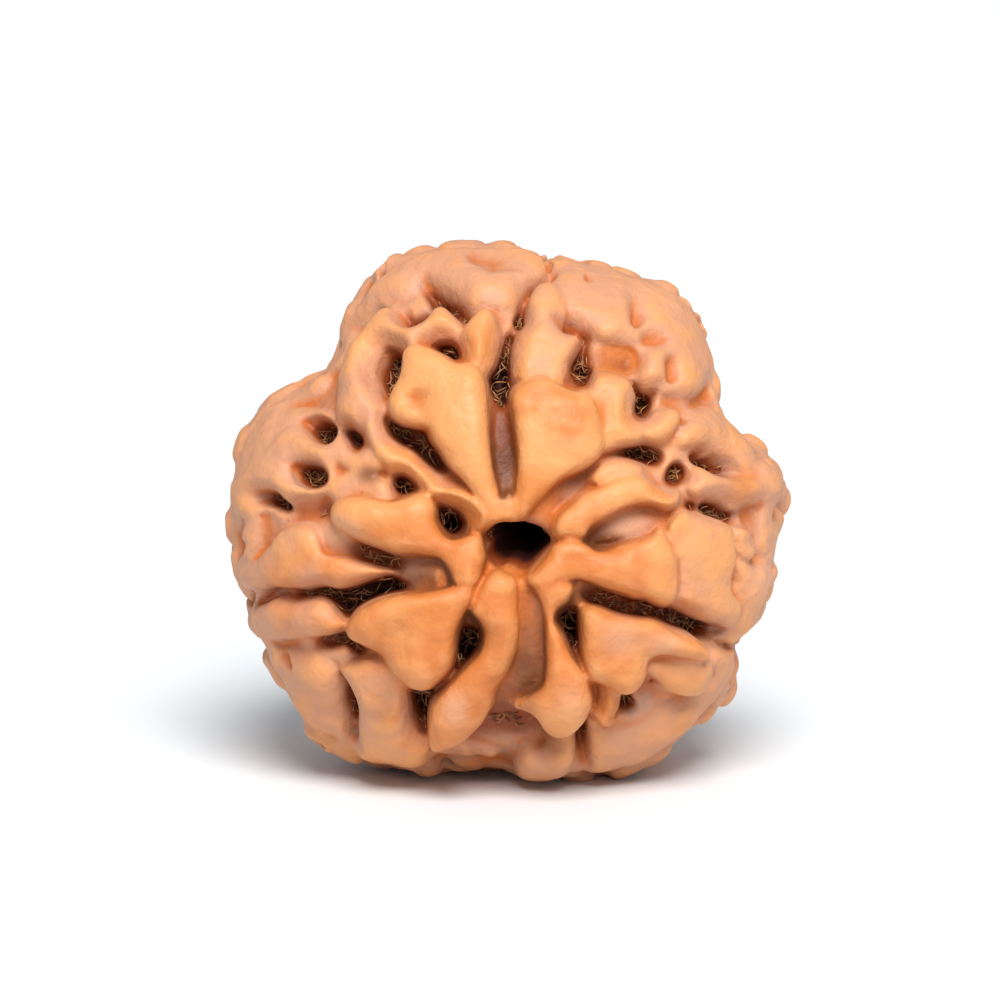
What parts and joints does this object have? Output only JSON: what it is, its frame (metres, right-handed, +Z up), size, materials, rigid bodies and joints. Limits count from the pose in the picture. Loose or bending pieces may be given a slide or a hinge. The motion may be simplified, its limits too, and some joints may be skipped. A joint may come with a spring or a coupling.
{
  "type": "rudraksha seed",
  "caption": "Round, deeply furrowed seed stone with lobes, petal-like ridges, pits and clefts round a natural tunnel.",
  "frame": {"origin": "bottom centre of the bounding box, on the surface the seed lies on", "axes": "+X to the right across the widest side, +Y to the back roughly along the natural tunnel, +Z up; the near mouth of the tunnel faces -Y and is raised by 10 degrees"},
  "size_m": [0.0236, 0.02, 0.0222],
  "materials": {
    "seed_stone": "matt to slightly waxy, orange-tan on the ridges, dark red-brown in the pits"
  },
  "bodies": {
    "root": {"rudraksha_seed": "seed_stone"}
  },
  "joints": []
}
